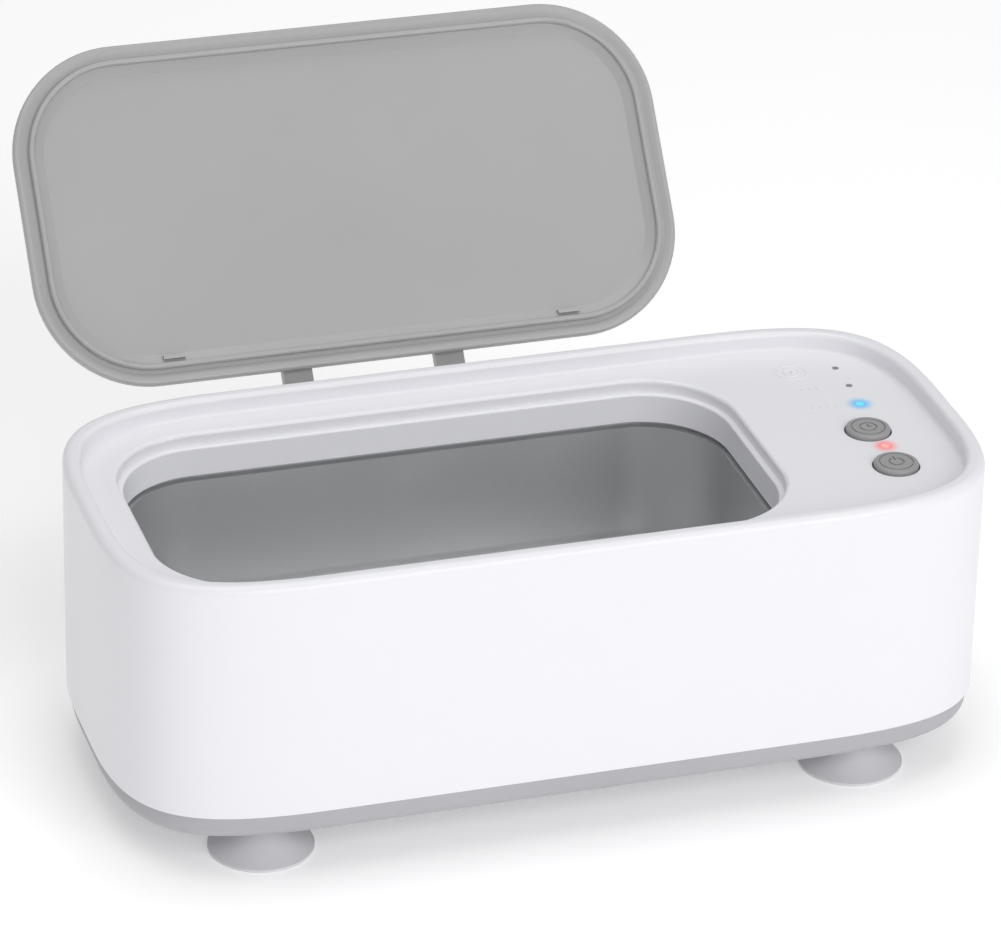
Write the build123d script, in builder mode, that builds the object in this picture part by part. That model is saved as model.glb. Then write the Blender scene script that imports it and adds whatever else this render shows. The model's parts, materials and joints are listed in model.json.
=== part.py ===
from build123d import *

import os
from math import cos, radians, sin

# Portable ultrasonic cleaner, in millimetres.
# +X runs along the housing towards the control deck, +Y towards the back, +Z up.
# z = 0 is the plane that the suction cups stand on. The origin lies under the middle of the box
# that holds the whole cleaner with its lid open, so the housing's own middle is BODY_Y behind it.

os.makedirs("parts", exist_ok=True)

# ---------------------------------------------------------------- driving dimensions
LENGTH = 205.0
DEPTH = 94.8
CORNER_X = 45.0             # how far a plan corner reaches along X
CORNER_Y = 40.0             # and along Y
CORNER_PULL = 0.78          # share of the corner's reach taken by each curve handle
BODY_Y = -32.7

CUP_PLANE = 0.0
BASE_BOTTOM = 9.8
SHELL_BOTTOM = 16.2
DECK_TOP = 68.9
RIM_TOP = 73.5
WALL = 2.4
DECK_THICKNESS = 2.2
DECK_UNDER = DECK_TOP - DECK_THICKNESS
RIM_WIDTH = 4.0
RIM_OUTER_ROUND = 1.9
RIM_INNER_ROUND = 1.1
DECK_CORNER_ROUND = 0.9
FIT = 0.2                   # gap between covers that push together

# tank opening and tub
TANK_X = -17.2
OPENING = (146.0, 72.4, 21.4)       # length, depth, corner radius
THROAT = (143.2, 69.6, 20.0)
SKIRT = (149.0, 75.6, 22.9)
STEP_DEPTH = 3.0
SKIRT_BOTTOM = 58.8
GASKET = 1.0
GASKET_SETBACK = 1.2        # how far the seal lies back from the throat
TUB_SHEET = 0.8
TUB_INNER = (141.6, 68.0, 19.2)
TUB_FLOOR = 25.8
TUB_ROUND = 5.0
FLANGE_TOP = SKIRT_BOTTOM - GASKET
FLANGE_UNDER = FLANGE_TOP - TUB_SHEET
CLAMP_THICKNESS = 2.0
CLAMP_POINTS = [(TANK_X + i * 46.0, side * 41.4) for i in (-1, 0, 1) for side in (-1, 1)]
CLAMP_EAR = 3.4

# lid, in its closed place: it turns about the hinge line behind the housing
LID = (156.4, 81.6, 26.5)
LID_THICKNESS = 3.0
LID_GAP = 0.15              # between the sealing bead and the deck
LID_BACK = LID[1] / 2
LID_BEAD = (3.6, 5.0)       # how far the bead's two sides lie in from the lid's edge
LID_BEAD_HEIGHT = 1.1
LID_DISH = (1.2, 2.7)       # the flange slopes down to the bead's foot between these insets
LID_DISH_DEPTH = 0.6
LID_SLOPE_END = 7.3         # the slope inside the bead ends here, at the panel
LID_PANEL_SETBACK = 1.2
LID_INNER_Z = DECK_TOP + LID_GAP + LID_BEAD_HEIGHT      # the flange's inner face, closed
OPEN_ANGLE = 128.2
HINGE_Y = DEPTH / 2 + 2.9
HINGE_Z = 65.45
HINGE_SPACING = 37.0
PIN_RADIUS = 0.8
PIN_CLEARANCE = 0.05
KNUCKLE_RADIUS = 2.3
KNUCKLE_WIDTH = 7.0
EAR_WIDTH = 2.6
EAR_GAP = 0.25

# controls
BUTTON_X = 81.8
BUTTON_RADIUS = 5.15
BUTTON_HOLE = 5.5
BUTTON_TOP = DECK_TOP + 1.1
BUTTON_FLANGE = 5.9
BUTTON_FLANGE_TOP = DECK_UNDER - 0.2
BUTTON_FLANGE_UNDER = BUTTON_FLANGE_TOP - 0.8
ENGRAVING = 0.25
BUTTONS = {"timer": -2.3, "power": -20.2}
LIGHT_BLUE = (84.8, 11.0)
LIGHT_RED = (82.9, -10.4)
LIGHTS_TIMER = [(85.9, 29.9), (85.8, 20.5)]
LIGHTS = [LIGHT_BLUE, LIGHT_RED, *LIGHTS_TIMER]
PIPE_RADIUS = 1.0
TIMER_PIPE_RADIUS = 0.75
PIPE_COLLAR = 0.3           # how much wider a pipe's collar is
BOARD = 1.6
CONTROL_BOARD_TOP = DECK_TOP - 8.1
CONTROL_BOARD_X = (69.0, 93.0)
CONTROL_BOARD_Y = 31.5
CONTROL_SCREWS = [(x, side * 26.3) for x in (71.8, 90.4) for side in (-1, 1)]
SWITCH_SIZE = 6.0
SWITCH_TOP = CONTROL_BOARD_TOP + 3.5
PLUNGER_RADIUS = 1.7

# driver electronics and ultrasonic transducer
DRIVER_TOP = 25.6
DRIVER_X = (61.0, 95.0)
DRIVER_Y = 27.0
DRIVER_SCREWS = [(x, side * 23.5) for x in (64.5, 91.5) for side in (-1, 1)]
TUB_UNDER = TUB_FLOOR - TUB_SHEET
PLATE_RADIUS = 20.0
PLATE_THICKNESS = 2.8
PIEZO_RADIUS = 17.5
PIEZO_THICKNESS = 2.6
PIEZO_UNDER = TUB_UNDER - PLATE_THICKNESS - PIEZO_THICKNESS

# power inlet, in the +X end wall
PORT_Z = 27.3
PORT_SLOT = (10.0, 4.2)
USB_SIZE = (8.94, 3.26)
USB_LENGTH = 7.3
USB_MOUTH = LENGTH / 2 - 1.2

# base, screws and cups
BASE_INSET = 0.8
BASE_ROUND = 3.6
BASE_FLOOR = 2.2
BASE_INNER = BASE_BOTTOM + BASE_FLOOR
LIP_HEIGHT = 3.0
LIP_WIDTH = 2.0
BASE_SCREWS = [(x * 88.9, y * 34.8) for x in (-1, 1) for y in (-1, 1)]
BOSS_SPLIT = 20.0
CUPS = {
    "front_left": (-70.0, -31.8),
    "front_right": (70.0, -31.8),
    "back_left": (-70.0, 31.8),
    "back_right": (70.0, 31.8),
}
CUP_RADIUS = 12.0
CUP_SHANK = 2.5

# ---------------------------------------------------------------- planes
FLOOR = Plane((0, BODY_Y, 0))
TANK = Plane((TANK_X, BODY_Y, 0))


def side_plane(x):
    """A plane across the housing at x: local x is +Y, local y is +Z."""
    return Plane((x, BODY_Y, 0), x_dir=(0, 1, 0), z_dir=(1, 0, 0))


def hinge_plane(x):
    """The side plane turned about the hinge line, so closed coordinates draw an open lid."""
    turn = radians(OPEN_ANGLE)
    origin = (x, BODY_Y + HINGE_Y, HINGE_Z)
    return Plane(origin, x_dir=(0, cos(turn), -sin(turn)), z_dir=(1, 0, 0))


def lid_plane():
    """The middle of the lid's inner face: local y runs towards its front edge, local z into the tank."""
    hinge = hinge_plane(TANK_X)
    middle = hinge.from_local_coords((-HINGE_Y, LID_INNER_Z - HINGE_Z, 0))
    towards_front = hinge.x_dir * -1
    return Plane(middle, x_dir=(1, 0, 0), z_dir=Vector(1, 0, 0).cross(towards_front))


# ---------------------------------------------------------------- shared outlines and pieces
def soft_outline(inset):
    """The housing's plan, drawn in by inset: straight sides joined by soft, slightly square corners."""
    half_x = LENGTH / 2 - inset
    half_y = DEPTH / 2 - inset
    reach_x = CORNER_X - inset
    reach_y = CORNER_Y - inset
    with BuildSketch() as plan:
        with BuildLine():
            Line((0, half_y), (half_x - reach_x, half_y))
            Bezier(
                (half_x - reach_x, half_y),
                (half_x - reach_x * (1 - CORNER_PULL), half_y),
                (half_x, half_y - reach_y * (1 - CORNER_PULL)),
                (half_x, half_y - reach_y),
            )
            Line((half_x, half_y - reach_y), (half_x, 0))
            mirror(about=Plane.XZ)
            mirror(about=Plane.YZ)
        make_face()
    return plan.sketch


def rounded(size, grow=0.0):
    """A rectangle with round corners, made larger all round by grow."""
    length, depth, radius = size
    return RectangleRounded(length + 2 * grow, depth + 2 * grow, radius + grow, mode=Mode.PRIVATE)


def screws(points, head_z, head, shank, upwards=True):
    """Pan-head screws on vertical axes. head and shank are (radius, length); head_z is under the head."""
    way = 1 if upwards else -1
    with BuildPart() as group:
        with BuildSketch(FLOOR.offset(head_z)):
            with Locations(*points):
                Circle(head[0])
        extrude(amount=-way * head[1])
        outer = faces().sort_by(Axis.Z)[: len(points)] if upwards else faces().sort_by(Axis.Z)[-len(points):]
        fillet(outer.edges(), head[1] * 0.4)
        with BuildSketch(FLOOR.offset(head_z)):
            with Locations(*points):
                Circle(shank[0])
        extrude(amount=way * shank[1])
        with BuildSketch(FLOOR.offset(head_z - way * head[1])):
            with Locations(*points):
                Rectangle(head[0] * 1.1, head[0] * 0.26)
                Rectangle(head[0] * 0.26, head[0] * 1.1)
        extrude(amount=way * head[1] * 0.6, mode=Mode.SUBTRACT)
    return group.part


def wire(points, radius, bend):
    """A round insulated wire along straight runs joined by bends."""
    with BuildPart() as run:
        with BuildLine() as route:
            FilletPolyline(*points, radius=bend)
        start = Plane(origin=route.line @ 0, z_dir=route.line % 0)
        with BuildSketch(start):
            Circle(radius)
        sweep()
    return run.part


pieces = {}

# ---------------------------------------------------------------- upper housing
BOSS_RADIUS = 3.0
PILOT_RADIUS = 1.1
SMALL_BOSS = 2.25
SMALL_PILOT = 0.85
HINGE_X = [TANK_X - HINGE_SPACING / 2, TANK_X + HINGE_SPACING / 2]
EAR_RADIUS = 2.5
EAR_ROOT = (57.0, 68.2)     # lowest and highest point of an ear on the back wall

with BuildPart() as upper_housing:
    with BuildSketch(FLOOR.offset(SHELL_BOTTOM)):
        add(soft_outline(0))
    extrude(amount=RIM_TOP - SHELL_BOTTOM)
    with BuildSketch(FLOOR.offset(DECK_TOP)):
        add(soft_outline(RIM_WIDTH))
    extrude(amount=RIM_TOP - DECK_TOP, mode=Mode.SUBTRACT)
    deck_edge = faces().filter_by_position(Axis.Z, DECK_TOP - 0.01, DECK_TOP + 0.01)[0]
    fillet(deck_edge.outer_wire().edges(), DECK_CORNER_ROUND)
    rim = faces().sort_by(Axis.Z)[-1]
    fillet(rim.outer_wire().edges(), RIM_OUTER_ROUND)
    rim = faces().filter_by(Plane.XY).sort_by(Axis.Z)[-1]
    fillet(rim.inner_wires()[0].edges(), RIM_INNER_ROUND)
    with BuildSketch(FLOOR.offset(SHELL_BOTTOM)):
        add(soft_outline(WALL))
    extrude(amount=DECK_UNDER - SHELL_BOTTOM, mode=Mode.SUBTRACT)
    # skirt, stepped opening and throat
    with BuildSketch(TANK.offset(SKIRT_BOTTOM)):
        add(rounded(SKIRT))
    extrude(amount=DECK_UNDER - SKIRT_BOTTOM)
    with BuildSketch(TANK.offset(DECK_TOP)):
        add(rounded(OPENING))
    extrude(amount=-STEP_DEPTH, mode=Mode.SUBTRACT)
    opening_edge = faces().filter_by_position(Axis.Z, DECK_TOP - 0.01, DECK_TOP + 0.01)[0]
    fillet(opening_edge.inner_wires()[0].edges(), DECK_CORNER_ROUND)
    with BuildSketch(TANK.offset(SKIRT_BOTTOM)):
        add(rounded(THROAT))
    extrude(amount=DECK_TOP - SKIRT_BOTTOM, mode=Mode.SUBTRACT)
    ledge = faces().filter_by_position(Axis.Z, DECK_TOP - STEP_DEPTH - 0.01, DECK_TOP - STEP_DEPTH + 0.01)[0]
    fillet(ledge.inner_wires()[0].edges(), 0.6)
    # screw bosses under the deck
    with BuildSketch(FLOOR.offset(DECK_UNDER)):
        with Locations(*CONTROL_SCREWS):
            Circle(SMALL_BOSS)
    extrude(amount=CONTROL_BOARD_TOP - DECK_UNDER)
    with BuildSketch(FLOOR.offset(DECK_UNDER)):
        with Locations(*CLAMP_POINTS):
            Circle(BOSS_RADIUS - 0.3)
    extrude(amount=FLANGE_UNDER - DECK_UNDER)
    with BuildSketch(FLOOR.offset(DECK_UNDER)):
        with Locations(*BASE_SCREWS):
            Circle(BOSS_RADIUS)
    extrude(amount=BOSS_SPLIT - DECK_UNDER)
    with BuildSketch(FLOOR.offset(DECK_UNDER - 0.5)):
        with Locations(*CONTROL_SCREWS):
            Circle(SMALL_PILOT)
    extrude(amount=CONTROL_BOARD_TOP - DECK_UNDER, mode=Mode.SUBTRACT)
    with BuildSketch(FLOOR.offset(FLANGE_UNDER)):
        with Locations(*CLAMP_POINTS):
            Circle(PILOT_RADIUS)
    extrude(amount=9.0, mode=Mode.SUBTRACT)
    with BuildSketch(FLOOR.offset(BOSS_SPLIT)):
        with Locations(*BASE_SCREWS):
            Circle(PILOT_RADIUS)
    extrude(amount=12.0, mode=Mode.SUBTRACT)
    # holes for the buttons and the light pipes
    with BuildSketch(FLOOR.offset(DECK_TOP)):
        with Locations(*[(BUTTON_X, y) for y in BUTTONS.values()]):
            Circle(BUTTON_HOLE)
        with Locations(LIGHT_BLUE, LIGHT_RED):
            Circle(PIPE_RADIUS + 0.05)
        with Locations(*LIGHTS_TIMER):
            Circle(TIMER_PIPE_RADIUS + 0.05)
    extrude(amount=-DECK_THICKNESS, mode=Mode.SUBTRACT)
    # slot for the power plug
    with BuildSketch(side_plane(LENGTH / 2 - WALL - 1)):
        with Locations((0, PORT_Z)):
            SlotOverall(*PORT_SLOT)
    extrude(amount=WALL + 2, mode=Mode.SUBTRACT)
    # hinge ears on the back wall, two for each arm of the lid
    for x in HINGE_X:
        for side in (-1, 1):
            inner = x + side * (KNUCKLE_WIDTH / 2 + EAR_GAP)
            with BuildSketch(side_plane(inner)):
                with Locations((HINGE_Y, HINGE_Z)):
                    Circle(EAR_RADIUS)
                with Locations((DEPTH / 2 - 0.5, (EAR_ROOT[0] + EAR_ROOT[1]) / 2)):
                    Rectangle(1.0, EAR_ROOT[1] - EAR_ROOT[0])
                make_hull()
            extrude(amount=side * EAR_WIDTH)
            with BuildSketch(side_plane(inner)):
                with Locations((HINGE_Y, HINGE_Z)):
                    Circle(PIN_RADIUS)
            extrude(amount=side * EAR_WIDTH, mode=Mode.SUBTRACT)
pieces["upper_housing"] = upper_housing

# ---------------------------------------------------------------- hinge pins
PIN_LENGTH = KNUCKLE_WIDTH + 2 * (EAR_GAP + EAR_WIDTH)
with BuildPart() as hinge_pins:
    for x in HINGE_X:
        with BuildSketch(side_plane(x)):
            with Locations((HINGE_Y, HINGE_Z)):
                Circle(PIN_RADIUS)
        extrude(amount=PIN_LENGTH / 2, both=True)
pieces["hinge_pins"] = hinge_pins

# ---------------------------------------------------------------- lid, built open
LID_FACE = lid_plane()
LID_NORMAL = Axis(LID_FACE.origin, LID_FACE.z_dir)
LID_OUTER_ROUND = 1.3
LID_INNER_ROUND = 0.8
LID_OUTER_Z = LID_INNER_Z + LID_THICKNESS - HINGE_Z
ARM_FOOT = -20.0            # where an arm's ramp starts on the lid, from the hinge line
ARM_RISE = -14.0            # where the ramp reaches the arm's full height
ARM_EDGE = -10.6            # where the arm leaves the lid's back edge
ARM_TOP = 11.3              # the arm's top above the hinge line, with the lid closed
ARM_UNDER = 8.8             # its underside, where it passes over the rim
LOBE_RADIUS = 0.9           # the lobe that meets the back wall when the lid is fully open
LOBE_OFFSET = 2.85
LOBE_ANGLE = -6.2
SNAP_LENGTH = 5.2
SNAP_WIDTH = 0.9
SNAP_HEIGHT = 0.6
SNAP_X = 48.0
SNAP_Y = 6.2 - LID_BACK

with BuildPart() as lid:
    with BuildSketch(LID_FACE):
        add(rounded(LID))
    extrude(amount=-LID_THICKNESS)
    fillet(faces().sort_by(LID_NORMAL)[0].edges(), LID_OUTER_ROUND)
    fillet(faces().sort_by(LID_NORMAL)[-1].edges(), LID_INNER_ROUND)
    # flange dished towards the bead
    with BuildPart(mode=Mode.PRIVATE) as dish:
        with BuildSketch(LID_FACE):
            add(rounded(LID, -LID_DISH[0]))
        with BuildSketch(LID_FACE.offset(-LID_DISH_DEPTH)):
            add(rounded(LID, -LID_DISH[1]))
        loft()
    add(dish.part, mode=Mode.SUBTRACT)
    # everything inside the bead's outer side, with the panel set back behind a soft slope
    with BuildSketch(LID_FACE.offset(-LID_DISH_DEPTH)):
        add(rounded(LID, -LID_BEAD[0]))
    extrude(amount=LID_BEAD_HEIGHT + LID_DISH_DEPTH)
    with BuildSketch(LID_FACE):
        add(rounded(LID, -LID_BEAD[1]))
    extrude(amount=LID_BEAD_HEIGHT, mode=Mode.SUBTRACT)
    fillet(faces().sort_by(LID_NORMAL)[-1].edges(), (LID_BEAD[1] - LID_BEAD[0]) * 0.44)
    with BuildPart(mode=Mode.PRIVATE) as pocket:
        with BuildSketch(LID_FACE):
            add(rounded(LID, -LID_BEAD[1]))
        with BuildSketch(LID_FACE.offset(-LID_PANEL_SETBACK)):
            add(rounded(LID, -LID_SLOPE_END))
        loft()
    add(pocket.part, mode=Mode.SUBTRACT)
    # two snaps on the slope at its hinge side
    with BuildSketch(LID_FACE.offset(-LID_PANEL_SETBACK)):
        with Locations(*[(side * SNAP_X, SNAP_Y) for side in (-1, 1)]):
            Rectangle(SNAP_LENGTH, SNAP_WIDTH)
    extrude(amount=LID_PANEL_SETBACK + SNAP_HEIGHT)
    # arms from the outer face, over the rim, to the hinge knuckles
    for x in HINGE_X:
        with BuildSketch(hinge_plane(x)):
            with BuildLine():
                Polyline(
                    (ARM_FOOT, LID_OUTER_Z - 0.5),
                    (ARM_FOOT, LID_OUTER_Z),
                    (ARM_RISE, ARM_TOP),
                    (KNUCKLE_RADIUS, ARM_TOP),
                    (KNUCKLE_RADIUS, 0),
                    (-KNUCKLE_RADIUS, 0),
                    (-KNUCKLE_RADIUS, ARM_UNDER),
                    (ARM_EDGE, ARM_UNDER),
                    (ARM_EDGE, LID_OUTER_Z - 0.5),
                    close=True,
                )
            make_face()
            fillet(vertices().sort_by_distance((KNUCKLE_RADIUS, ARM_TOP, 0))[0], 4.0)
            fillet(vertices().sort_by_distance((-KNUCKLE_RADIUS, ARM_UNDER, 0))[0], 1.0)
            fillet(vertices().sort_by_distance((ARM_RISE, ARM_TOP, 0))[0], 4.0)
            Circle(KNUCKLE_RADIUS)
            with PolarLocations(LOBE_OFFSET, 1, start_angle=LOBE_ANGLE):
                Circle(LOBE_RADIUS)
            with PolarLocations(LOBE_OFFSET / 2, 1, start_angle=LOBE_ANGLE):
                Rectangle(LOBE_OFFSET, 2 * LOBE_RADIUS)
            Circle(PIN_RADIUS + PIN_CLEARANCE, mode=Mode.SUBTRACT)
        extrude(amount=KNUCKLE_WIDTH / 2, both=True)
pieces["lid"] = lid

# ---------------------------------------------------------------- tank, its seal and its clamp
CLAMP_HOLE = 1.3

with BuildPart() as tank:
    with BuildSketch(TANK.offset(TUB_UNDER)):
        add(rounded(TUB_INNER, TUB_SHEET))
    extrude(amount=FLANGE_TOP - TUB_UNDER)
    fillet(faces().sort_by(Axis.Z)[0].edges(), TUB_ROUND + TUB_SHEET)
    with BuildSketch(TANK.offset(FLANGE_UNDER)):
        add(rounded(SKIRT))
    extrude(amount=TUB_SHEET)
    with BuildPart(mode=Mode.PRIVATE) as tub_space:
        with BuildSketch(TANK.offset(TUB_FLOOR)):
            add(rounded(TUB_INNER))
        extrude(amount=FLANGE_TOP - TUB_FLOOR)
        fillet(faces().sort_by(Axis.Z)[0].edges(), TUB_ROUND)
    add(tub_space.part, mode=Mode.SUBTRACT)
pieces["tank"] = tank

with BuildPart() as tank_gasket:
    with BuildSketch(TANK.offset(FLANGE_TOP)):
        add(rounded(SKIRT, -0.3))
        add(rounded(THROAT, GASKET_SETBACK), mode=Mode.SUBTRACT)
    extrude(amount=GASKET)
pieces["tank_gasket"] = tank_gasket

with BuildPart() as tank_clamp:
    with BuildSketch(TANK.offset(FLANGE_UNDER)):
        add(rounded(SKIRT))
        for x, y in CLAMP_POINTS:
            with Locations((x - TANK_X, y)):
                Circle(CLAMP_EAR)
            with Locations((x - TANK_X, y * 0.94)):
                Rectangle(2 * CLAMP_EAR, abs(y) * 0.12)
        with Locations(*[(x - TANK_X, y) for x, y in CLAMP_POINTS]):
            Circle(CLAMP_HOLE, mode=Mode.SUBTRACT)
        add(rounded(TUB_INNER, TUB_SHEET + 0.3), mode=Mode.SUBTRACT)
    extrude(amount=-CLAMP_THICKNESS)
pieces["tank_clamp"] = tank_clamp

with BuildPart() as tank_clamp_screws:
    add(screws(CLAMP_POINTS, FLANGE_UNDER - CLAMP_THICKNESS, (2.2, 1.6), (PILOT_RADIUS, 9.0)))
pieces["tank_clamp_screws"] = tank_clamp_screws

# ---------------------------------------------------------------- ultrasonic transducer
WIRE_RADIUS = 0.65
WIRE_LEVEL = 15.4
WIRE_X = TANK_X + 12.0
WIRE_RISE_X = 57.4
PIEZO_SOCKET = (66.0, -16.0)
SOCKET_SIZE = (6.0, 6.0, 6.0)
SOCKET_ENTRY = 3.4

with BuildPart() as coupling_plate:
    with BuildSketch(TANK.offset(TUB_UNDER)):
        Circle(PLATE_RADIUS)
    extrude(amount=-PLATE_THICKNESS)
    chamfer(faces().sort_by(Axis.Z)[0].edges(), 0.8)
pieces["coupling_plate"] = coupling_plate

with BuildPart() as piezo_disc:
    with BuildSketch(TANK.offset(PIEZO_UNDER)):
        Circle(PIEZO_RADIUS)
    extrude(amount=PIEZO_THICKNESS)
    fillet(faces().sort_by(Axis.Z)[0].edges(), 0.4)
pieces["piezo_disc"] = piezo_disc

with BuildPart() as piezo_wires:
    for side in (-1, 1):
        near_y = BODY_Y + side * 1.3
        socket_y = near_y + PIEZO_SOCKET[1]
        entry_z = DRIVER_TOP + SOCKET_ENTRY
        route = [
            (WIRE_X, near_y, PIEZO_UNDER),
            (WIRE_X, near_y, WIRE_LEVEL),
            (WIRE_X + 28, near_y, WIRE_LEVEL),
            (WIRE_RISE_X - 12, socket_y, WIRE_LEVEL),
            (WIRE_RISE_X, socket_y, WIRE_LEVEL),
            (WIRE_RISE_X, socket_y, entry_z),
            (PIEZO_SOCKET[0] - SOCKET_SIZE[0] / 2, socket_y, entry_z),
        ]
        add(wire(route, WIRE_RADIUS, 1.9))
pieces["piezo_wires"] = piezo_wires

# ---------------------------------------------------------------- driver board and what stands on it
SMALL_HEAD = (1.9, 1.3)
TONGUE_HALF = 8.0
TONGUE_END = 99.4

with BuildPart() as driver_board:
    with BuildSketch(FLOOR.offset(DRIVER_TOP - BOARD)):
        with Locations(((DRIVER_X[0] + DRIVER_X[1]) / 2, 0)):
            RectangleRounded(DRIVER_X[1] - DRIVER_X[0], 2 * DRIVER_Y, 1.5)
        with Locations(((DRIVER_X[1] + TONGUE_END) / 2 - 1, 0)):
            Rectangle(TONGUE_END - DRIVER_X[1] + 2, 2 * TONGUE_HALF)
        with Locations(*DRIVER_SCREWS):
            Circle(1.2, mode=Mode.SUBTRACT)
    extrude(amount=BOARD)
pieces["driver_board"] = driver_board

with BuildPart() as driver_board_screws:
    add(screws(DRIVER_SCREWS, DRIVER_TOP, SMALL_HEAD, (SMALL_PILOT, 6.0), upwards=False))
pieces["driver_board_screws"] = driver_board_screws

TRANSFORMER = (78.0, -14.0)
CORE_SIZE = (15.0, 6.0, 14.0)
CORE_LIMB = 3.0
CORE_CENTRE = 4.4
WINDOW_HEIGHT = CORE_SIZE[2] - 2 * CORE_LIMB
WINDOW_WIDTH = (CORE_SIZE[0] - 2 * CORE_LIMB - CORE_CENTRE) / 2
CORE_PLANE = Plane((TRANSFORMER[0], BODY_Y + TRANSFORMER[1], DRIVER_TOP), x_dir=(1, 0, 0), z_dir=(0, -1, 0))

with BuildPart() as transformer_core:
    with BuildSketch(CORE_PLANE):
        with Locations((0, CORE_SIZE[2] / 2)):
            Rectangle(CORE_SIZE[0], CORE_SIZE[2])
        window_x = (CORE_CENTRE + WINDOW_WIDTH) / 2
        with Locations(*[(side * window_x, CORE_SIZE[2] / 2) for side in (-1, 1)]):
            Rectangle(WINDOW_WIDTH, WINDOW_HEIGHT, mode=Mode.SUBTRACT)
    extrude(amount=CORE_SIZE[1] / 2, both=True)
pieces["transformer_core"] = transformer_core

with BuildPart() as transformer_coil:
    with BuildSketch(FLOOR.offset(DRIVER_TOP + CORE_LIMB + 0.1)):
        with Locations(TRANSFORMER):
            RectangleRounded(CORE_CENTRE + 2 * WINDOW_WIDTH - 0.4, CORE_SIZE[1] + 7.0, 3.0)
            Rectangle(CORE_CENTRE, CORE_SIZE[1], mode=Mode.SUBTRACT)
    extrude(amount=WINDOW_HEIGHT - 0.2)
pieces["transformer_coil"] = transformer_coil

CAPACITORS = [((89.8, -9.0), 4.0, 12.0), ((66.0, -5.0), 3.15, 9.0)]
CRIMP_UP = 1.4              # a capacitor can's crimped groove, below its top

with BuildPart() as filter_capacitors:
    for place, radius, height in CAPACITORS:
        with BuildSketch(side_plane(place[0])):
            with BuildLine():
                Polyline(
                    (place[1], DRIVER_TOP),
                    (place[1] + radius, DRIVER_TOP),
                    (place[1] + radius, DRIVER_TOP + CRIMP_UP - 0.5),
                    (place[1] + radius - 0.4, DRIVER_TOP + CRIMP_UP),
                    (place[1] + radius, DRIVER_TOP + CRIMP_UP + 0.5),
                    (place[1] + radius, DRIVER_TOP + height - 0.4),
                    (place[1] + radius - 0.4, DRIVER_TOP + height),
                    (place[1], DRIVER_TOP + height),
                    close=True,
                )
            make_face()
        revolve(axis=Axis((place[0], place[1] + BODY_Y, 0), (0, 0, 1)))
pieces["filter_capacitors"] = filter_capacitors

INDUCTOR = (70.2, 8.0)
INDUCTOR_RADIUS = 4.6
INDUCTOR_TUBE = 2.0
TURNS = 14

with BuildPart() as inductor:
    with Locations((INDUCTOR[0], INDUCTOR[1] + BODY_Y, DRIVER_TOP + INDUCTOR_TUBE - 0.2)):
        Torus(INDUCTOR_RADIUS, INDUCTOR_TUBE - 0.25)
        with PolarLocations(INDUCTOR_RADIUS, TURNS):
            Cylinder(INDUCTOR_TUBE, 0.9, rotation=(90, 0, 0))
    split(bisect_by=Plane((0, 0, DRIVER_TOP)), keep=Keep.TOP)
pieces["inductor"] = inductor

SINK = (86.0, 16.0)
SINK_SIZE = (14.0, 8.0, 14.0)
SINK_BASE = 2.2
FINS = 5
FIN = 1.3
FIN_PITCH = (SINK_SIZE[0] - FIN) / (FINS - 1)
MOSFET = (10.0, 4.4, 9.2)
MOSFET_LEG = (0.8, 0.6)
MOSFET_UP = 2.6

with BuildPart() as heat_sink:
    with BuildSketch(FLOOR.offset(DRIVER_TOP)):
        with Locations((SINK[0], SINK[1] - (SINK_SIZE[1] - SINK_BASE) / 2)):
            Rectangle(SINK_SIZE[0], SINK_BASE)
        with Locations(SINK):
            with GridLocations(FIN_PITCH, 1, FINS, 1):
                Rectangle(FIN, SINK_SIZE[1])
    extrude(amount=SINK_SIZE[2])
pieces["heat_sink"] = heat_sink

with BuildPart() as power_transistor:
    body_y = SINK[1] - SINK_SIZE[1] / 2 - MOSFET[1] / 2
    with BuildSketch(FLOOR.offset(DRIVER_TOP + MOSFET_UP)):
        with Locations((SINK[0], body_y)):
            Rectangle(MOSFET[0], MOSFET[1])
    extrude(amount=MOSFET[2])
    chamfer(faces().sort_by(Axis.Y)[0].edges(), 0.5)
    with BuildSketch(FLOOR.offset(DRIVER_TOP)):
        with Locations((SINK[0], body_y)):
            with GridLocations(2.54, 1, 3, 1):
                Rectangle(*MOSFET_LEG)
    extrude(amount=MOSFET_UP)
pieces["power_transistor"] = power_transistor

CHIP = (79.5, 1.5)
CHIP_SIZE = (5.0, 6.2, 1.5)

with BuildPart() as controller_chip:
    with BuildSketch(FLOOR.offset(DRIVER_TOP + 0.2)):
        with Locations(CHIP):
            Rectangle(CHIP_SIZE[0], CHIP_SIZE[1])
    extrude(amount=CHIP_SIZE[2])
    chamfer(faces().sort_by(Axis.Z)[-1].edges(), 0.3)
    with BuildSketch(FLOOR.offset(DRIVER_TOP)):
        with Locations(CHIP):
            with GridLocations(1, 1.27, 1, 4):
                Rectangle(CHIP_SIZE[0] + 2.0, 0.4)
    extrude(amount=0.5)
pieces["controller_chip"] = controller_chip

CABLE_PLUG = (71.5, 18.5)
CONTROL_PLUG = (80.0, 22.0)
PLUG_SIZE = (12.0, 4.6, 6.0)
CONTROL_PLUG_DEPTH = 3.6

with BuildPart() as board_connectors:
    with BuildSketch(FLOOR.offset(DRIVER_TOP)):
        with Locations(PIEZO_SOCKET):
            Rectangle(SOCKET_SIZE[0], SOCKET_SIZE[1])
        with Locations(CABLE_PLUG):
            Rectangle(PLUG_SIZE[0], PLUG_SIZE[1])
    extrude(amount=PLUG_SIZE[2])
    with BuildSketch(FLOOR.offset(CONTROL_BOARD_TOP - BOARD)):
        with Locations(CONTROL_PLUG):
            Rectangle(PLUG_SIZE[0], PLUG_SIZE[1])
    extrude(amount=-CONTROL_PLUG_DEPTH)
    chamfer(edges().filter_by(Axis.Z), 0.5)
pieces["board_connectors"] = board_connectors

CABLE_RADIUS = 0.55
CABLE_PITCH = 2.5

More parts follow.
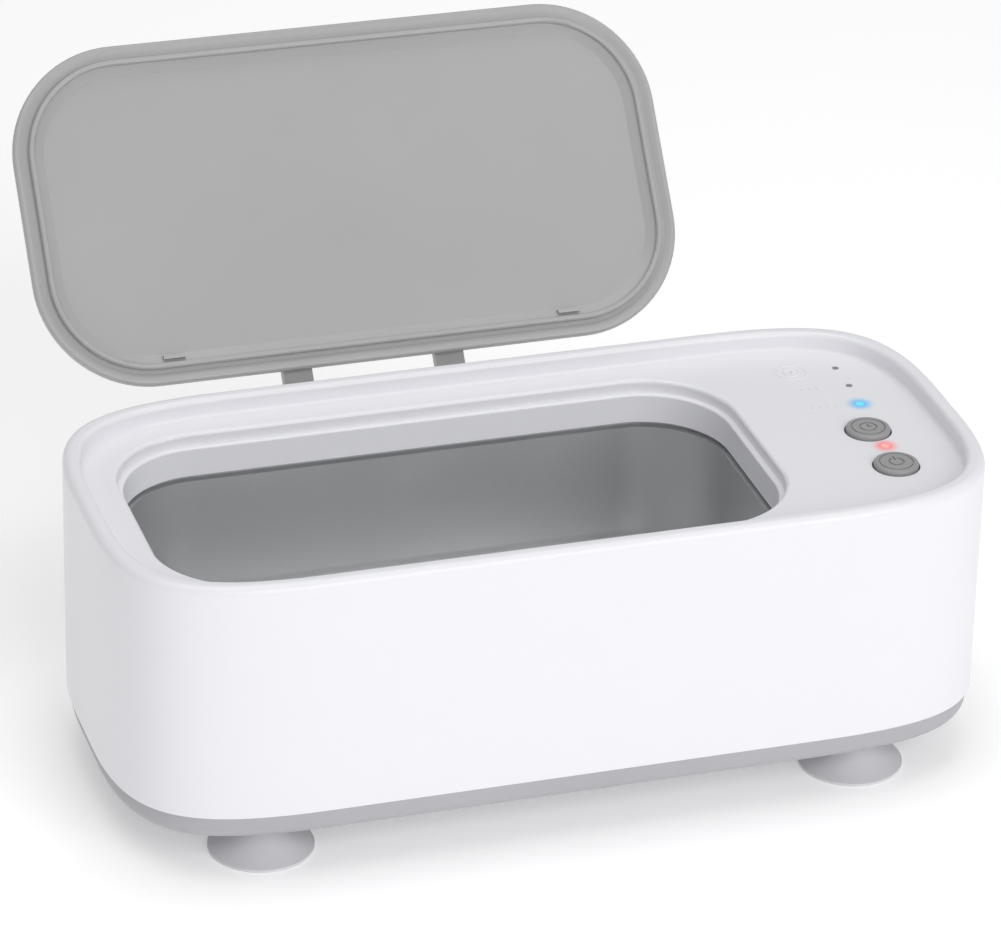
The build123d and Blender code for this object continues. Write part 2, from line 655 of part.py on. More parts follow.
with BuildPart() as control_wires:
    for i in range(4):
        along = (i - 1.5) * CABLE_PITCH
        route = [
            (CABLE_PLUG[0] + along, CABLE_PLUG[1] + BODY_Y, DRIVER_TOP + PLUG_SIZE[2]),
            (CABLE_PLUG[0] + along, CABLE_PLUG[1] + BODY_Y, DRIVER_TOP + 15),
            (CONTROL_PLUG[0] + along, CONTROL_PLUG[1] + BODY_Y, CONTROL_BOARD_TOP - 14),
            (CONTROL_PLUG[0] + along, CONTROL_PLUG[1] + BODY_Y, CONTROL_BOARD_TOP - BOARD - CONTROL_PLUG_DEPTH),
        ]
        add(wire(route, CABLE_RADIUS, 4.0))
pieces["control_wires"] = control_wires

# ---------------------------------------------------------------- power inlet
USB_RADIUS = USB_SIZE[1] / 2 - 0.05
USB_WALL = 0.3
USB_TONGUE = (6.7, 0.7)

with BuildPart() as usb_socket:
    mouth = side_plane(USB_MOUTH)
    with BuildSketch(mouth):
        with Locations((0, DRIVER_TOP + USB_SIZE[1] / 2)):
            RectangleRounded(USB_SIZE[0], USB_SIZE[1], USB_RADIUS)
    extrude(amount=-USB_LENGTH)
    with BuildSketch(mouth):
        with Locations((0, DRIVER_TOP + USB_SIZE[1] / 2)):
            RectangleRounded(USB_SIZE[0] - 2 * USB_WALL, USB_SIZE[1] - 2 * USB_WALL, USB_RADIUS - USB_WALL)
    extrude(amount=USB_WALL - USB_LENGTH, mode=Mode.SUBTRACT)
    with BuildSketch(mouth.offset(-USB_LENGTH)):
        with Locations((0, DRIVER_TOP + USB_SIZE[1] / 2)):
            Rectangle(*USB_TONGUE)
    extrude(amount=USB_LENGTH - 0.8)
pieces["usb_socket"] = usb_socket

# ---------------------------------------------------------------- control board, lights and buttons
LED_RADIUS = 1.5
LED_TOP = CONTROL_BOARD_TOP + 4.0
PIPE_BOTTOM = CONTROL_BOARD_TOP + 4.7
PIPE_PROUD = 0.05
SWITCH_BORE = PLUNGER_RADIUS + 0.05
SWITCH_FLOOR = 0.8
PLUNGER_BOTTOM = CONTROL_BOARD_TOP + 1.4

with BuildPart() as control_board:
    with BuildSketch(FLOOR.offset(CONTROL_BOARD_TOP - BOARD)):
        with Locations(((CONTROL_BOARD_X[0] + CONTROL_BOARD_X[1]) / 2, 0)):
            RectangleRounded(CONTROL_BOARD_X[1] - CONTROL_BOARD_X[0], 2 * CONTROL_BOARD_Y, 1.5)
        with Locations(*CONTROL_SCREWS):
            Circle(1.2, mode=Mode.SUBTRACT)
    extrude(amount=BOARD)
pieces["control_board"] = control_board

with BuildPart() as control_board_screws:
    add(screws(CONTROL_SCREWS, CONTROL_BOARD_TOP - BOARD, SMALL_HEAD, (SMALL_PILOT, 6.0)))
pieces["control_board_screws"] = control_board_screws

with BuildPart() as status_leds:
    with BuildSketch(FLOOR.offset(CONTROL_BOARD_TOP)):
        with Locations(*LIGHTS):
            Circle(LED_RADIUS)
    extrude(amount=LED_TOP - CONTROL_BOARD_TOP)
    fillet(faces().sort_by(Axis.Z)[-len(LIGHTS):].edges(), LED_RADIUS * 0.9)
pieces["status_leds"] = status_leds


def light_pipes(points, radius=PIPE_RADIUS):
    """Clear pins through the deck, each with a collar under it."""
    with BuildPart() as pins:
        with BuildSketch(FLOOR.offset(PIPE_BOTTOM)):
            with Locations(*points):
                Circle(radius)
        extrude(amount=DECK_TOP + PIPE_PROUD - PIPE_BOTTOM)
        with BuildSketch(FLOOR.offset(PIPE_BOTTOM)):
            with Locations(*points):
                Circle(radius + PIPE_COLLAR)
        extrude(amount=DECK_UNDER - PIPE_BOTTOM)
    return pins


pieces["light_pipe_blue"] = light_pipes([LIGHT_BLUE])
pieces["light_pipe_red"] = light_pipes([LIGHT_RED])
pieces["light_pipes_timer"] = light_pipes(LIGHTS_TIMER, TIMER_PIPE_RADIUS)


def switch_body(y):
    """A tact switch's housing on the control board."""
    with BuildPart() as body:
        with BuildSketch(FLOOR.offset(CONTROL_BOARD_TOP)):
            with Locations((BUTTON_X, y)):
                Rectangle(SWITCH_SIZE, SWITCH_SIZE)
        extrude(amount=SWITCH_TOP - CONTROL_BOARD_TOP)
        chamfer(edges().filter_by(Axis.Z), 0.5)
        with BuildSketch(FLOOR.offset(CONTROL_BOARD_TOP + SWITCH_FLOOR)):
            with Locations((BUTTON_X, y)):
                Circle(SWITCH_BORE)
        extrude(amount=SWITCH_TOP - CONTROL_BOARD_TOP, mode=Mode.SUBTRACT)
    return body


def switch_plunger(y):
    """The plunger that a button presses into its switch."""
    with BuildPart() as plunger:
        with BuildSketch(FLOOR.offset(PLUNGER_BOTTOM)):
            with Locations((BUTTON_X, y)):
                Circle(PLUNGER_RADIUS)
        extrude(amount=BUTTON_FLANGE_UNDER - 0.03 - PLUNGER_BOTTOM)
        fillet(faces().sort_by(Axis.Z)[-1].edges(), 0.3)
    return plunger


SYMBOL_RING = (3.7, 4.0)
CLOCK_RING = (1.7, 2.1)
POWER_RING = (1.4, 1.85)
STROKE = 0.42


def button(y, symbol):
    """A round push button, with a ring and a symbol engraved in its top."""
    with BuildPart() as cap:
        with BuildSketch(FLOOR.offset(BUTTON_FLANGE_UNDER)):
            with Locations((BUTTON_X, y)):
                Circle(BUTTON_FLANGE)
        extrude(amount=BUTTON_FLANGE_TOP - BUTTON_FLANGE_UNDER)
        with BuildSketch(FLOOR.offset(BUTTON_FLANGE_UNDER)):
            with Locations((BUTTON_X, y)):
                Circle(BUTTON_RADIUS)
        extrude(amount=BUTTON_TOP - BUTTON_FLANGE_UNDER)
        fillet(faces().sort_by(Axis.Z)[-1].edges(), 0.6)
        with BuildSketch(FLOOR.offset(BUTTON_TOP)):
            with Locations((BUTTON_X, y)):
                Circle(SYMBOL_RING[1])
                Circle(SYMBOL_RING[0], mode=Mode.SUBTRACT)
            ring = CLOCK_RING if symbol == "clock" else POWER_RING
            with Locations((BUTTON_X, y)):
                Circle(ring[1])
                Circle(ring[0], mode=Mode.SUBTRACT)
            if symbol == "clock":
                with Locations((BUTTON_X, y + 0.5), (BUTTON_X + 0.45, y)):
                    Rectangle(STROKE, STROKE)
                with Locations((BUTTON_X, y + 0.45)):
                    Rectangle(STROKE, 1.2)
                with Locations((BUTTON_X + 0.4, y)):
                    Rectangle(1.1, STROKE)
            else:
                with Locations((BUTTON_X, y + ring[1])):
                    Rectangle(1.3, 1.6, mode=Mode.SUBTRACT)
                with Locations((BUTTON_X, y + ring[1] - 0.3)):
                    Rectangle(STROKE, 1.9)
        extrude(amount=-ENGRAVING, mode=Mode.SUBTRACT)
    return cap


for name, symbol in (("timer", "clock"), ("power", "bar")):
    pieces[f"switch_body_{name}"] = switch_body(BUTTONS[name])
    pieces[f"switch_plunger_{name}"] = switch_plunger(BUTTONS[name])
    pieces[f"button_{name}"] = button(BUTTONS[name], symbol)

# ---------------------------------------------------------------- base cover, its screws and the cups
BASE_BOSS = 3.1
HEAD_SEAT = BASE_BOTTOM + 3.0
POST_RADIUS = 2.5

with BuildPart() as base_cover:
    with BuildSketch(FLOOR.offset(BASE_BOTTOM)):
        add(soft_outline(BASE_INSET))
    extrude(amount=SHELL_BOTTOM - BASE_BOTTOM)
    fillet(faces().sort_by(Axis.Z)[0].edges(), BASE_ROUND)
    with BuildSketch(FLOOR.offset(SHELL_BOTTOM)):
        add(soft_outline(WALL + FIT))
    extrude(amount=LIP_HEIGHT)
    with BuildSketch(FLOOR.offset(BASE_INNER)):
        add(soft_outline(WALL + FIT + LIP_WIDTH))
    extrude(amount=SHELL_BOTTOM + LIP_HEIGHT - BASE_INNER, mode=Mode.SUBTRACT)
    with BuildSketch(FLOOR.offset(BASE_INNER)):
        with Locations(*BASE_SCREWS):
            Circle(BASE_BOSS)
    extrude(amount=BOSS_SPLIT - BASE_INNER)
    with BuildSketch(FLOOR.offset(BASE_INNER)):
        with Locations(*DRIVER_SCREWS):
            Circle(POST_RADIUS)
    extrude(amount=DRIVER_TOP - BOARD - BASE_INNER)
    with BuildSketch(FLOOR.offset(DRIVER_TOP - BOARD)):
        with Locations(*DRIVER_SCREWS):
            Circle(SMALL_PILOT)
    extrude(amount=-8.0, mode=Mode.SUBTRACT)
    with BuildSketch(FLOOR.offset(BASE_BOTTOM)):
        with Locations(*BASE_SCREWS):
            Circle(2.7)
    extrude(amount=HEAD_SEAT - BASE_BOTTOM, mode=Mode.SUBTRACT)
    with BuildSketch(FLOOR.offset(BASE_BOTTOM)):
        with Locations(*BASE_SCREWS):
            Circle(1.5)
        with Locations(*CUPS.values()):
            Circle(CUP_SHANK + 0.1)
    extrude(amount=BOSS_SPLIT - BASE_BOTTOM, mode=Mode.SUBTRACT)
pieces["base_cover"] = base_cover

with BuildPart() as base_screws:
    add(screws(BASE_SCREWS, HEAD_SEAT, (2.3, 1.6), (PILOT_RADIUS, 13.0)))
pieces["base_screws"] = base_screws


def suction_cup(place):
    """A rubber cup: thin dished lip, neck, and a shank that snaps through the base."""
    x, y = place
    with BuildPart() as cup:
        with BuildSketch(Plane((x, BODY_Y + y, CUP_PLANE), x_dir=(1, 0, 0), z_dir=(0, -1, 0))):
            with BuildLine():
                hollow = Spline((0, 2.6), (6.5, 1.5), (CUP_RADIUS - 1.3, 0))
                lip = Polyline(hollow @ 1, (CUP_RADIUS, 0), (CUP_RADIUS, 0.7))
                back = Spline(lip @ 1, (9.0, 2.1), (5.6, 4.4))
                Polyline(
                    back @ 1,
                    (4.0, 6.0),
                    (4.0, BASE_BOTTOM),
                    (CUP_SHANK, BASE_BOTTOM),
                    (CUP_SHANK, BASE_INNER),
                    (4.0, BASE_INNER),
                    (3.4, BASE_INNER + 1.5),
                    (1.6, BASE_INNER + 2.1),
                    (0, BASE_INNER + 2.1),
                    hollow @ 0,
                )
            make_face()
        revolve(axis=Axis((x, BODY_Y + y, 0), (0, 0, 1)))
    return cup


for name, place in CUPS.items():
    pieces[f"suction_cup_{name}"] = suction_cup(place)

# ---------------------------------------------------------------- one file for each piece
for name, piece in pieces.items():
    piece.part.label = name
    export_step(piece.part, f"parts/{name}.step")
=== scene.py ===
import json
from math import cos, pi, radians, sin

import bpy
from mathutils import Matrix, Vector


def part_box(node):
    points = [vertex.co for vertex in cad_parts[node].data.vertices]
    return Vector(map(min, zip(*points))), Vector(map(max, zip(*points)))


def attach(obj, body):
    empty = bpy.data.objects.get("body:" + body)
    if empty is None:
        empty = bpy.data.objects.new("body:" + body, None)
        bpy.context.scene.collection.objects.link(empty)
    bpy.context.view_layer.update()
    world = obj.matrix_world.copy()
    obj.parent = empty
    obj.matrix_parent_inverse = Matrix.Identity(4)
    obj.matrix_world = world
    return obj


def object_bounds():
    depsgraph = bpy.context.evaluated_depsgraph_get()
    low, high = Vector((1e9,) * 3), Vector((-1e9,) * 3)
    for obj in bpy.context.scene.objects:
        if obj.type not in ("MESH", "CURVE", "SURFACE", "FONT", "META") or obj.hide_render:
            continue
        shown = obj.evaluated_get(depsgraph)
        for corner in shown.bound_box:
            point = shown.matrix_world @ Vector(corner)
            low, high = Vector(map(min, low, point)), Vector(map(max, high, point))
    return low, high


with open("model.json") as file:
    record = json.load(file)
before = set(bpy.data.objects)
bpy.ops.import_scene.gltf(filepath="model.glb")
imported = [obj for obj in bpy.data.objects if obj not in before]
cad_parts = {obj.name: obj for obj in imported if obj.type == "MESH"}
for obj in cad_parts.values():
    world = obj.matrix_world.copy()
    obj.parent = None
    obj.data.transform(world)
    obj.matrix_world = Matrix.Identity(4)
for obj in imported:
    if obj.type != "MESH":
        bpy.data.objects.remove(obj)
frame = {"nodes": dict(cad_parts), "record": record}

CAD_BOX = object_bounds()
MM = 0.001
PIPE_PROUD = 0.05 * MM      # how far the light pipes stand above the deck

# ------------------------------------------------------------------ places on the object
BASE_LOW, BASE_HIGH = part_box("base_cover")
MIDDLE_Y = (BASE_LOW.y + BASE_HIGH.y) / 2
FLOOR_Z = CAD_BOX[0].z
BLUE_LOW, BLUE_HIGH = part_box("light_pipe_blue")
RED_LOW, RED_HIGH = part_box("light_pipe_red")
BLUE_TOP = Vector(((BLUE_LOW.x + BLUE_HIGH.x) / 2, (BLUE_LOW.y + BLUE_HIGH.y) / 2, BLUE_HIGH.z))
RED_TOP = Vector(((RED_LOW.x + RED_HIGH.x) / 2, (RED_LOW.y + RED_HIGH.y) / 2, RED_HIGH.z))
DECK_Z = BLUE_HIGH.z - PIPE_PROUD

# ------------------------------------------------------------------ camera
AZIMUTH = radians(-17.84)
ELEVATION = radians(27.53)
ROLL = radians(1.33)
DISTANCE = 1173.1 * MM
FOCUS_POINT = Vector((-7.7 * MM, MIDDLE_Y, 70.85 * MM))
LENS_IN_WIDTHS = 5.2129
SHIFT = (0.0081, 0.0013)


def make_camera():
    """The camera, at the distance and angles that the named values give."""
    back = Vector((sin(AZIMUTH) * cos(ELEVATION), -cos(AZIMUTH) * cos(ELEVATION), sin(ELEVATION)))
    right = (-back).cross(Vector((0, 0, 1))).normalized()
    up = back.cross(right)
    turn = Matrix.Rotation(ROLL, 3, back)
    right, up = turn @ right, turn @ up
    data = bpy.data.cameras.new("camera")
    data.sensor_width = 36.0
    data.lens = data.sensor_width * LENS_IN_WIDTHS
    data.shift_x, data.shift_y = SHIFT
    data.clip_start, data.clip_end = 0.01, 100.0
    camera = bpy.data.objects.new("camera", data)
    rotation = Matrix((right, up, back)).transposed().to_4x4()
    camera.matrix_world = Matrix.Translation(FOCUS_POINT + back * DISTANCE) @ rotation
    bpy.context.scene.collection.objects.link(camera)
    bpy.context.scene.camera = camera


# ------------------------------------------------------------------ materials
class Nodes:
    """A material's node tree, with short ways to add what the finishes share."""

    def __init__(self, name):
        self.material = bpy.data.materials.new(name)
        self.material.use_nodes = True
        self.tree = self.material.node_tree
        self.shader = self.tree.nodes["Principled BSDF"]
        self.place = self.tree.nodes.new("ShaderNodeTexCoord").outputs["Object"]

    def add(self, kind, inputs=None, **settings):
        node = self.tree.nodes.new(kind)
        for key, value in settings.items():
            setattr(node, key, value)
        for key, value in (inputs or {}).items():
            if isinstance(value, bpy.types.NodeSocket):
                self.tree.links.new(value, node.inputs[key])
            else:
                node.inputs[key].default_value = value
        return node

    def set(self, **values):
        for key, value in values.items():
            self.shader.inputs[key.replace("_", " ")].default_value = value

    def link(self, socket, key):
        self.tree.links.new(socket, self.shader.inputs[key])

    def stretched(self, scale):
        return self.add("ShaderNodeMapping", {"Vector": self.place, "Scale": scale}).outputs["Vector"]

    def noise(self, scale, detail=3.0, rough=0.5, vector=None):
        inputs = {"Vector": vector or self.place, "Scale": scale, "Detail": detail, "Roughness": rough}
        return self.add("ShaderNodeTexNoise", inputs).outputs["Fac"]

    def spread(self, value, low, high, start=0.3, end=0.7):
        inputs = {"Value": value, "From Min": start, "From Max": end, "To Min": low, "To Max": high}
        return self.add("ShaderNodeMapRange", inputs).outputs["Result"]

    def blend(self, factor, first, second):
        node = self.add("ShaderNodeMix", data_type="RGBA")
        self.tree.links.new(factor, node.inputs[0])
        for index, colour in ((6, first), (7, second)):
            if isinstance(colour, bpy.types.NodeSocket):
                self.tree.links.new(colour, node.inputs[index])
            else:
                node.inputs[index].default_value = (*colour, 1.0)
        return node.outputs[2]

    def maths(self, operation, *values):
        node = self.add("ShaderNodeMath", operation=operation)
        for index, value in enumerate(values):
            if isinstance(value, bpy.types.NodeSocket):
                self.tree.links.new(value, node.inputs[index])
            else:
                node.inputs[index].default_value = value
        return node.outputs[0]

    def bump(self, height, distance, strength):
        inputs = {"Height": height, "Distance": distance, "Strength": strength}
        return self.add("ShaderNodeBump", inputs).outputs["Normal"]


def near(nodes, point, radius):
    """1 at a point, falling smoothly to 0 at radius from it."""
    offset = nodes.add("ShaderNodeVectorMath", operation="DISTANCE")
    nodes.tree.links.new(nodes.place, offset.inputs[0])
    offset.inputs[1].default_value = point
    inputs = {"Value": offset.outputs["Value"], "From Max": radius, "To Min": 1.0, "To Max": 0.0}
    return nodes.add("ShaderNodeMapRange", inputs, interpolation_type="SMOOTHERSTEP").outputs["Result"]


def moulded(name, colour, shade=0.93, roughness=(0.32, 0.42), grain=2600.0, depth=0.004 * MM, rub=0.05):
    """Injection-moulded plastic: a fine spark-eroded grain, faint flow clouds and edges paler by rub."""
    n = Nodes(name)
    clouds = n.noise(22.0, 4.0, 0.55)
    deeper = tuple(channel * shade for channel in colour)
    base = n.blend(n.spread(clouds, 0.0, 1.0), colour, deeper)
    edge = n.spread(n.add("ShaderNodeNewGeometry").outputs["Pointiness"], 0.0, 1.0, 0.53, 0.62)
    rubbed = tuple(min(1.0, channel * (1 + rub)) for channel in colour)
    n.link(n.blend(edge, base, rubbed), "Base Color")
    rough = n.spread(n.noise(55.0, 5.0, 0.6), *roughness)
    n.link(n.maths("SUBTRACT", rough, n.maths("MULTIPLY", edge, rub)), "Roughness")
    n.link(n.bump(n.noise(grain, 2.0, 0.6), depth, 0.9), "Normal")
    return n


def metal(name, colour, roughness=(0.22, 0.34), along=(1.0, 60.0, 60.0), depth=0.002 * MM):
    """Metal with fine rub lines one way and a slightly uneven sheen."""
    n = Nodes(name)
    lines = n.noise(900.0, 3.0, 0.6, n.stretched(along))
    darker = tuple(channel * 0.86 for channel in colour)
    n.link(n.blend(n.spread(lines, 0.0, 1.0), darker, colour), "Base Color")
    patches = n.spread(n.noise(40.0, 4.0), *roughness)
    n.link(n.maths("ADD", patches, n.maths("MULTIPLY", lines, 0.08)), "Roughness")
    n.link(n.bump(lines, depth, 0.8), "Normal")
    n.set(Metallic=1.0)
    return n


def speckled(name, colour, fleck, scale, roughness=(0.5, 0.65), depth=0.01 * MM):
    """A matt surface with small flecks, such as fired ceramic, ferrite or a printed board."""
    n = Nodes(name)
    spots = n.spread(n.noise(scale, 4.0, 0.7), 0.0, 1.0, 0.5, 0.62)
    n.link(n.blend(spots, colour, fleck), "Base Color")
    n.link(n.spread(n.noise(scale * 0.3), *roughness), "Roughness")
    n.link(n.bump(spots, depth, 0.6), "Normal")
    return n


def rubber(name, colour, clear):
    """Soft cast rubber, slightly see-through where it is thin."""
    n = Nodes(name)
    clouds = n.noise(120.0, 3.0)
    n.link(n.blend(n.spread(clouds, 0.0, 1.0), colour, tuple(c * 0.97 for c in colour)), "Base Color")
    n.link(n.spread(n.noise(300.0, 4.0), 0.30, 0.34), "Roughness")
    n.link(n.bump(n.noise(700.0, 3.0), 0.002 * MM, 0.5), "Normal")
    n.set(Transmission_Weight=clear, IOR=1.42, Specular_IOR_Level=0.45)
    return n


def lit(name, colour, strength):
    """A clear pin with light coming through it."""
    n = Nodes(name)
    grain = n.noise(1500.0, 2.0)
    deeper = tuple(channel * 0.85 for channel in colour)
    paler = tuple(channel + 0.15 for channel in deeper)
    n.link(n.blend(n.spread(grain, 0.0, 1.0), colour, deeper), "Base Color")
    n.link(n.spread(grain, 0.12, 0.22), "Roughness")
    n.link(n.blend(n.spread(grain, 0.0, 1.0), colour, paler), "Emission Color")
    n.set(Emission_Strength=strength)
    return n


HOUSING = (0.81, 0.81, 0.845)
BLUE_LIGHT = (0.03, 0.45, 0.85)
RED_LIGHT = (0.95, 0.13, 0.14)
GLOW = 0.12
BLUE_REACH = 4.4 * MM       # how far each light spreads through the deck
RED_REACH = 4.2 * MM


def housing_white():
    """The white shell, with the light of the two lit pins spreading through the deck around them."""
    n = moulded("housing_white", HOUSING, 0.995, (0.30, 0.325), 3000.0, 0.0005 * MM, 0.0)
    blue = near(n, BLUE_TOP, BLUE_REACH)
    red = near(n, RED_TOP, RED_REACH)
    total = n.maths("ADD", blue, red)
    share = n.maths("DIVIDE", blue, n.maths("ADD", total, 0.0001))
    n.link(n.blend(share, RED_LIGHT, BLUE_LIGHT), "Emission Color")
    n.link(n.maths("MULTIPLY", total, GLOW), "Emission Strength")
    # Painted glow: the base colour near each pin is also painted with that light's colour, on top of the
    # emission.
    under = n.shader.inputs["Base Color"].links[0].from_socket
    blue_glow_painted = n.blend(n.maths("MULTIPLY", blue, 0.9), under, BLUE_LIGHT)
    n.link(n.blend(n.maths("MULTIPLY", red, 0.85), blue_glow_painted, RED_LIGHT), "Base Color")
    return n


LOOKS = {
    "housing": housing_white(),
    "base": moulded("base_grey", (0.43, 0.425, 0.45), 0.95, (0.42, 0.52), 2200.0, 0.006 * MM),
    "lid": moulded("lid_grey", (0.40, 0.40, 0.40), 0.97, (0.30, 0.40), 2600.0, 0.003 * MM, 0.02),
    "button": moulded("button_grey", (0.32, 0.32, 0.325), 0.95, (0.34, 0.42), 2600.0, 0.003 * MM),
    "switch": moulded("switch_black", (0.03, 0.03, 0.03)),
    "plunger": moulded("plunger_ivory", (0.55, 0.53, 0.47)),
    "clamp": moulded("clamp_black", (0.05, 0.05, 0.055), 0.8, (0.5, 0.62), 1500.0, 0.01 * MM),
    "connector": moulded("connector_natural", (0.72, 0.69, 0.6)),
    "epoxy": moulded("epoxy_black", (0.02, 0.02, 0.02), 0.8, (0.5, 0.6)),
    "wire_red": moulded("wire_red", (0.5, 0.03, 0.02), 0.9),
    "wire_black": moulded("wire_black", (0.03, 0.03, 0.03), 0.8),
    "coil": moulded("coil_tape", (0.72, 0.48, 0.06), 0.85, (0.3, 0.45)),
    "capacitor": moulded("capacitor_sleeve", (0.03, 0.05, 0.12), 0.85, (0.2, 0.3)),
    "tank": metal("tank_steel", (0.70, 0.71, 0.72), (0.36, 0.46), (1.0, 40.0, 40.0)),
    "pins": metal("pin_steel", (0.56, 0.56, 0.56)),
    "screw": metal("screw_zinc", (0.50, 0.50, 0.52), (0.28, 0.4)),
    "socket": metal("socket_steel", (0.55, 0.55, 0.56), (0.2, 0.3)),
    "plate": metal("plate_aluminium", (0.72, 0.72, 0.74), (0.3, 0.42)),
    "sink": metal("sink_aluminium", (0.35, 0.36, 0.38), (0.4, 0.5), (60.0, 60.0, 1.0)),
    "inductor": metal("inductor_copper", (0.60, 0.25, 0.10), (0.25, 0.35), (60.0, 60.0, 1.0)),
    "board": speckled("board_green", (0.02, 0.13, 0.05), (0.04, 0.2, 0.09), 900.0, (0.3, 0.42)),
    "ferrite": speckled("ferrite_dark", (0.05, 0.05, 0.055), (0.11, 0.11, 0.12), 1600.0),
    "piezo": speckled("piezo_ceramic", (0.30, 0.27, 0.22), (0.42, 0.38, 0.31), 2000.0),
    "gasket": rubber("gasket_silicone", (0.45, 0.45, 0.46), 0.1),
    "cup": rubber("cup_rubber", (0.80, 0.80, 0.83), 0.15),
    "led": rubber("led_epoxy", (0.80, 0.82, 0.84), 0.6),
    "pipe_blue": lit("pipe_blue", (0.10, 0.58, 0.88), 0.5),
    "pipe_red": lit("pipe_red", (0.95, 0.32, 0.28), 0.5),
    "pipe_clear": rubber("pipe_clear", (0.30, 0.30, 0.31), 0.2),
}


def dress(piece, slot):
    """Give a piece the finish of its material slot."""
    piece.data.materials.clear()
    piece.data.materials.append(LOOKS[slot].material)


# ------------------------------------------------------------------ marks on the deck
MARK_HEIGHT = 0.14 * MM
MARK_SINK = 0.05 * MM
MARK_TOP = DECK_Z + MARK_HEIGHT
MARK_FOOT = DECK_Z - MARK_SINK
RING_STEPS = 72
RING_SLOPE = 0.2            # share of a ring's width taken by each sloping side
END_STEPS = 8               # steps around each round end of a bar
DIAL = (75.0 * MM, MIDDLE_Y + 30.1 * MM)
DIAL_RINGS = ((3.7 * MM, 0.3 * MM), (1.9 * MM, 0.28 * MM))
HAND_WIDTH = 0.28 * MM
LEVEL_ROWS = (("mark_levels_far", 76.2, 20.9, 3), ("mark_levels_near", 76.4, 11.6, 4))
LEVEL_PITCH = 1.9
LEVEL_SHORTEST = 1.0
LEVEL_GROWTH = 0.5          # each bar is this much longer than the one before it
LEVEL_WIDTH = 0.36 * MM


def ring_mesh(verts, faces, x, y, outer, width):
    """A low round ring whose two sides slope up from the deck."""
    start = len(verts)
    for radius, z in (
        (outer, MARK_FOOT),
        (outer - width * RING_SLOPE, MARK_TOP),
        (outer - width * (1 - RING_SLOPE), MARK_TOP),
        (outer - width, MARK_FOOT),
    ):
        for i in range(RING_STEPS):
            a = 2 * pi * i / RING_STEPS
            verts.append((x + radius * cos(a), y + radius * sin(a), z))
    for ring in range(3):
        for i in range(RING_STEPS):
            j = (i + 1) % RING_STEPS
            low, high = start + ring * RING_STEPS, start + (ring + 1) * RING_STEPS
            faces.append((low + i, low + j, high + j, high + i))


def bar_mesh(verts, faces, x, y, length, width, turn):
    """A low straight bar with round ends."""
    c, s = cos(turn), sin(turn)
    half = length / 2 - width / 2
    outline = []
    for side in (1, -1):
        for i in range(END_STEPS + 1):
            a = pi * i / END_STEPS - side * pi / 2
            u = half * side + width / 2 * cos(a)
            v = width / 2 * sin(a)
            outline.append((x + u * c - v * s, y + u * s + v * c))
    start, count = len(verts), len(outline)
    for z in (MARK_FOOT, MARK_TOP):
        verts.extend((*corner, z) for corner in outline)
    faces.append(tuple(range(start + count, start + 2 * count)))
    for i in range(count):
        j = (i + 1) % count
        faces.append((start + i, start + j, start + count + j, start + count + i))


def raised(name, rings, bars):
    """Low raised marks on the deck. rings: (x, y, outer radius, width); bars: (x, y, length, width, turn)."""
    verts, faces = [], []
    for ring in rings:
        ring_mesh(verts, faces, *ring)
    for bar in bars:
        bar_mesh(verts, faces, *bar)
    mesh = bpy.data.meshes.new(name)
    mesh.from_pydata(verts, [], faces)
    mesh.update()
    piece = bpy.data.objects.new(name, mesh)
    bpy.context.scene.collection.objects.link(piece)
    dress(piece, "housing")
    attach(piece, "housing")


def make_marks():
    """A clock dial and two rows of level bars, which grow longer towards the lights."""
    minute_hand = (DIAL[0], DIAL[1] + 0.55 * MM, 1.4 * MM, HAND_WIDTH, pi / 2)
    hour_hand = (DIAL[0] + 0.45 * MM, DIAL[1], 1.1 * MM, HAND_WIDTH, 0.0)
    raised("mark_dial", [(*DIAL, outer, width) for outer, width in DIAL_RINGS], [minute_hand, hour_hand])
    for name, x, y, count in LEVEL_ROWS:
        bars = []
        for i in range(count):
            along = (i - (count - 1) / 2) * LEVEL_PITCH
            length = (LEVEL_SHORTEST + LEVEL_GROWTH * i) * MM
            bars.append(((x + along) * MM, MIDDLE_Y + y * MM, length, LEVEL_WIDTH, pi / 2))
        raised(name, [], bars)


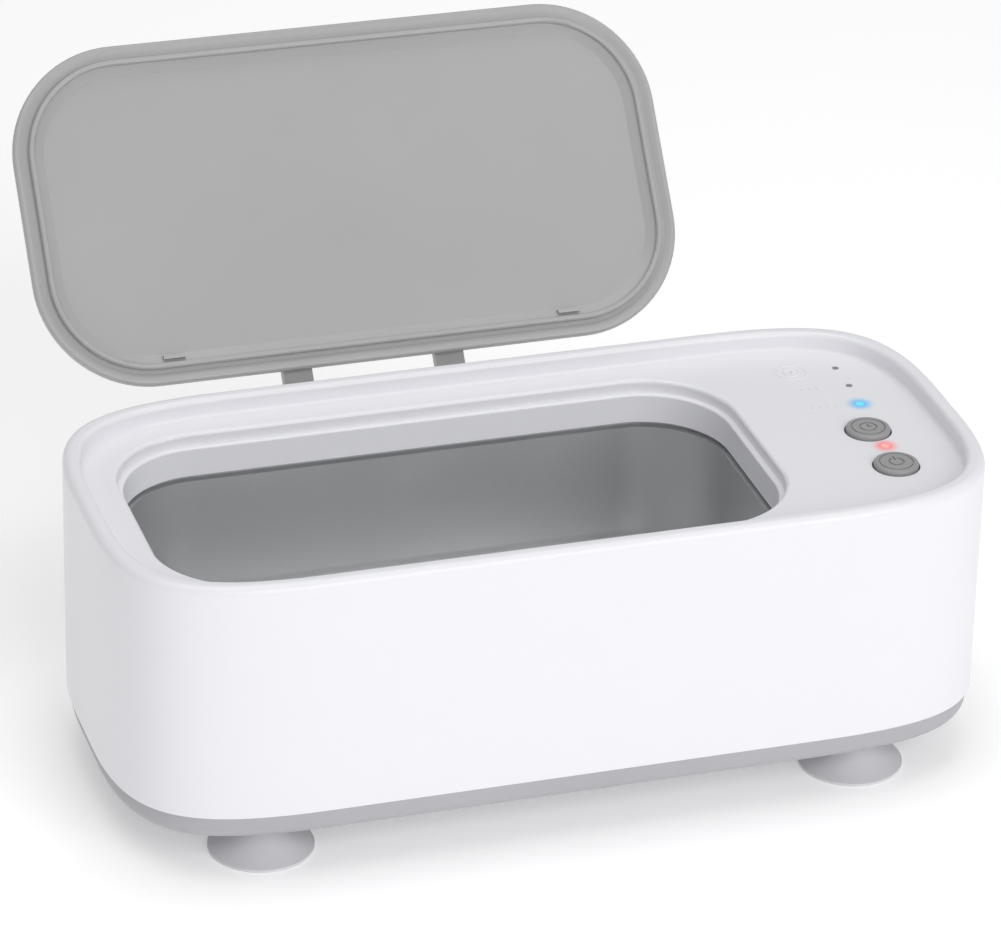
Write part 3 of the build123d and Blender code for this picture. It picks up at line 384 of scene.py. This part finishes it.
# ------------------------------------------------------------------ floor and light
FLOOR_SIZE = 6.0
FLOOR_GAP = 0.02 * MM
FLOOR_GLOW = 0.22
WORLD = 0.45
LAMPS = (
    ("lamp_front", (0.35, -1.3, 0.75), (1.2, 0.9), 10.4),
    ("lamp_top", (-0.1, 0.1, 1.5), (1.4, 1.0), 7.4),
)
LAMP_AIM = Vector((0, MIDDLE_Y, 50.0 * MM))


def make_stage():
    """The floor, the even light of the studio and two large soft lamps."""
    n = Nodes("floor_white")
    tone = n.spread(n.noise(3.0, 3.0), 0.0, 1.0)
    n.link(n.blend(tone, (0.96, 0.96, 0.96), (0.94, 0.94, 0.945)), "Base Color")
    n.link(n.spread(n.noise(8.0), 0.35, 0.42), "Roughness")
    n.set(Specular_IOR_Level=0.3, Emission_Color=(1.0, 1.0, 1.0, 1.0), Emission_Strength=FLOOR_GLOW)
    mesh = bpy.data.meshes.new("floor")
    h = FLOOR_SIZE / 2
    z = FLOOR_Z - FLOOR_GAP
    mesh.from_pydata([(-h, -h, z), (h, -h, z), (h, h, z), (-h, h, z)], [], [(0, 1, 2, 3)])
    floor = bpy.data.objects.new("floor", mesh)
    floor.data.materials.append(n.material)
    bpy.context.scene.collection.objects.link(floor)

    world = bpy.data.worlds.new("studio")
    bpy.context.scene.world = world
    world.use_nodes = True
    background = world.node_tree.nodes["Background"]
    background.inputs["Color"].default_value = (1.0, 1.0, 1.0, 1.0)
    background.inputs["Strength"].default_value = WORLD

    for name, place, size, power in LAMPS:
        data = bpy.data.lights.new(name, "AREA")
        data.shape = "RECTANGLE"
        data.size, data.size_y = size
        data.energy = power
        lamp = bpy.data.objects.new(name, data)
        lamp.location = place
        aim = LAMP_AIM - Vector(place)
        lamp.rotation_mode = "QUATERNION"
        lamp.rotation_quaternion = aim.to_track_quat("-Z", "Y")
        bpy.context.scene.collection.objects.link(lamp)


# ------------------------------------------------------------------ make it all
make_camera()
SLOTS = {row["node"]: row["material_slot"] for row in frame["record"]["subparts"]}
for node, piece in frame["nodes"].items():
    dress(piece, SLOTS[node])
make_marks()
make_stage()
bpy.context.scene.view_settings.view_transform = "Standard"
